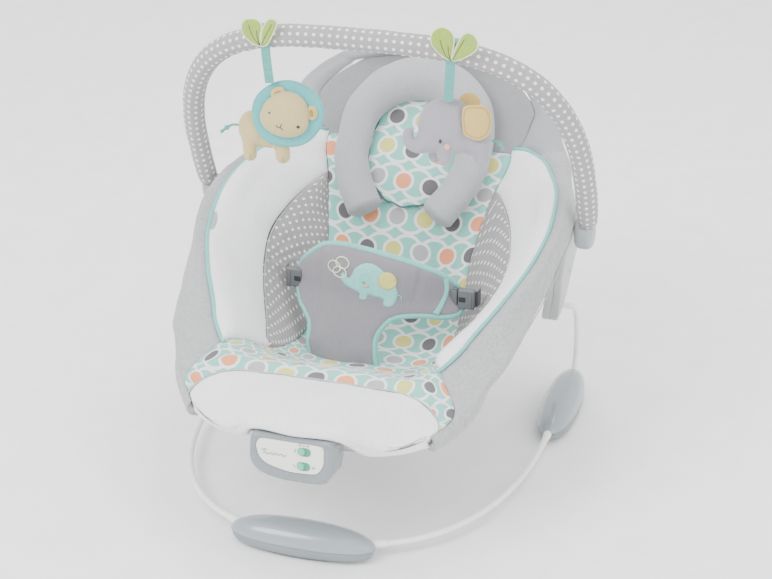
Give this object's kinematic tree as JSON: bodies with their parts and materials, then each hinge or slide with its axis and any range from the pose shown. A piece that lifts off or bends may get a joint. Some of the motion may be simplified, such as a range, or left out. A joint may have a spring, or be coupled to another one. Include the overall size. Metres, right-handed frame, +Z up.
{
  "type": "bouncer seat",
  "caption": "Baby bouncer seat: padded tilted sling seat on a springy wire base, with a toy bar, two hanging toys and a vibration unit.",
  "frame": {"origin": "centre of the whole model's box, at the floor", "axes": "+Z up, -Y towards the baby's feet and the control unit, +X to the seat's right as seen from the feet"},
  "size_m": [0.4904, 0.5808, 0.5357],
  "materials": {
    "white_wire": "satin powder coat",
    "foot_grey": "glossy",
    "foot_base_grey": "satin",
    "foot_rubber": "matt",
    "hub_grey": "satin",
    "frame_steel": "satin",
    "bar_plastic": "satin",
    "knuckle_grey": "satin",
    "sleeve_taupe_dots": "printed woven cotton with white dots",
    "leaf_green": "velour",
    "ribbon_teal": "satin ribbon",
    "lion_plush": "velour",
    "elephant_plush": "velour",
    "print_teal": "printed woven cotton",
    "plush_white": "short plush",
    "jersey_grey": "heather jersey",
    "velour_grey": "velour",
    "twill_taupe": "twill with binding",
    "webbing_black": "webbing",
    "buckle_grey": "moulded",
    "unit_grey": "semi-gloss",
    "face_white": "satin",
    "switch_teal": "satin",
    "board_green": "satin",
    "battery_metal": "satin",
    "motor_steel": "brushed",
    "weight_brass": "machined",
    "speaker_black": "matt"
  },
  "bodies": {
    "base": {"front_wire": "white_wire", "left_side_wire": "white_wire", "right_side_wire": "white_wire", "front_foot_shell": "foot_grey", "front_foot_base": "foot_base_grey", "front_foot_pad": "foot_rubber", "left_foot_shell": "foot_grey", "left_foot_base": "foot_base_grey", "left_foot_pad": "foot_rubber", "right_foot_shell": "foot_grey", "right_foot_base": "foot_base_grey", "right_foot_pad": "foot_rubber"},
    "seat": {"left_hub_cover": "hub_grey", "right_hub_cover": "hub_grey", "left_hub_body": "hub_grey", "right_hub_body": "hub_grey", "front_tube": "frame_steel", "back_tube": "frame_steel", "centre_panel": "print_teal", "head_insert": "print_teal", "left_wing": "plush_white", "right_wing": "plush_white", "foot_panel": "plush_white", "left_rim_pad": "jersey_grey", "right_rim_pad": "jersey_grey", "back_rim_pad": "jersey_grey", "head_pillow": "velour_grey", "restraint_panel": "twill_taupe", "left_buckle_plug": "buckle_grey", "right_buckle_plug": "buckle_grey", "unit_housing": "unit_grey", "unit_face": "face_white", "circuit_board": "board_green", "battery_1": "battery_metal", "battery_2": "battery_metal", "vibration_motor": "motor_steel", "speaker": "speaker_black"},
    "toy_bar": {"toy_bar": "bar_plastic", "toy_bar_sleeve": "sleeve_taupe_dots", "left_bar_knuckle": "knuckle_grey", "right_bar_knuckle": "knuckle_grey", "lion_leaf": "leaf_green", "elephant_leaf": "leaf_green"},
    "lion": {"lion_strap": "ribbon_teal", "lion_head": "lion_plush", "lion_body": "lion_plush"},
    "elephant": {"elephant_strap": "ribbon_teal", "elephant_head": "elephant_plush", "elephant_body": "elephant_plush"},
    "left_buckle": {"left_buckle_socket": "buckle_grey", "left_waist_strap": "webbing_black"},
    "right_buckle": {"right_buckle_socket": "buckle_grey", "right_waist_strap": "webbing_black"},
    "music_switch": {"music_switch": "switch_teal"},
    "vibration_switch": {"vibration_switch": "switch_teal"},
    "battery_door": {"battery_door": "unit_grey"},
    "motor_weight": {"motor_weight": "weight_brass"}
  },
  "joints": [
    {"name": "seat_bounce", "type": "hinge", "parent": "base", "child": "seat", "pos_m": [0, 0.188, 0.117], "axis": [1, 0, 0], "range_deg": [-4, 4], "stiffness_Nm_per_rad": 220},
    {"name": "toy_bar_tilt", "type": "hinge", "parent": "seat", "child": "toy_bar", "pos_m": [0, 0.099, 0.257], "axis": [1, 0, 0], "range_deg": [-45, 20]},
    {"name": "lion_swing", "type": "hinge", "parent": "toy_bar", "child": "lion", "pos_m": [-0.117, -0.01108, 0.49377], "axis": [1, 0, 0], "range_deg": [-20, 20]},
    {"name": "elephant_swing", "type": "hinge", "parent": "toy_bar", "child": "elephant", "pos_m": [0.098, -0.01261, 0.4971], "axis": [1, 0, 0], "range_deg": [-20, 20]},
    {"name": "left_buckle_release", "type": "slide", "parent": "seat", "child": "left_buckle", "axis": [-1, 0, 0], "range_m": [0, 0.009]},
    {"name": "right_buckle_release", "type": "slide", "parent": "seat", "child": "right_buckle", "axis": [1, 0, 0], "range_m": [0, 0.009]},
    {"name": "music_switch_slide", "type": "slide", "parent": "seat", "child": "music_switch", "axis": [1, 0, 0], "range_m": [0, 0.0055]},
    {"name": "vibration_switch_slide", "type": "slide", "parent": "seat", "child": "vibration_switch", "axis": [1, 0, 0], "range_m": [0, 0.0055]},
    {"name": "battery_door_lift", "type": "slide", "parent": "seat", "child": "battery_door", "axis": [0, -0.2079, -0.9781], "range_m": [0, 0.02]},
    {"name": "motor_spin", "type": "hinge", "parent": "seat", "child": "motor_weight", "pos_m": [0.0295, -0.25799, 0.13019], "axis": [0, 0.9781, -0.2079], "continuous": true}
  ]
}
